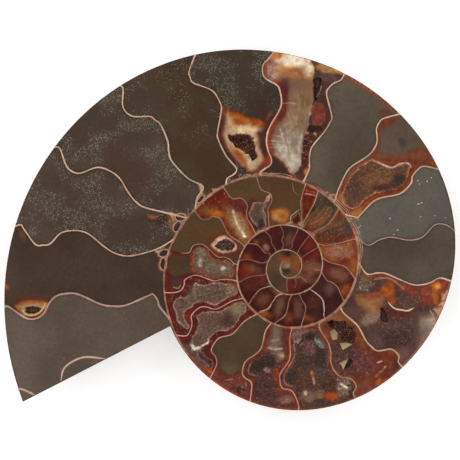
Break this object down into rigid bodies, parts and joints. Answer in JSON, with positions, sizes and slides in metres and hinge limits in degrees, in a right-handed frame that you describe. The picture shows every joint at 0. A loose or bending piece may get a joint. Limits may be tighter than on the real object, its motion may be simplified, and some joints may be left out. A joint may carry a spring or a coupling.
{
  "type": "cut and polished ammonite half",
  "caption": "Half of a sawn and polished ammonite fossil: flat cut face with spiral wall, chambers and crystal hollows, and a convex natural back with an umbilicus.",
  "frame": {"origin": "middle of the outline, on the plane that the convex back rests on", "axes": "+Z out of the polished cut face, +X along the longest extent away from the mouth end, +Y across it so that the mouth's break faces down and left in a plan view"},
  "size_m": [0.1493, 0.1194, 0.018],
  "materials": {
    "fossil_stone": "cut face polished to a soft gloss, natural shell back satin"
  },
  "bodies": {
    "root": {"ammonite_half": "fossil_stone"}
  },
  "joints": []
}
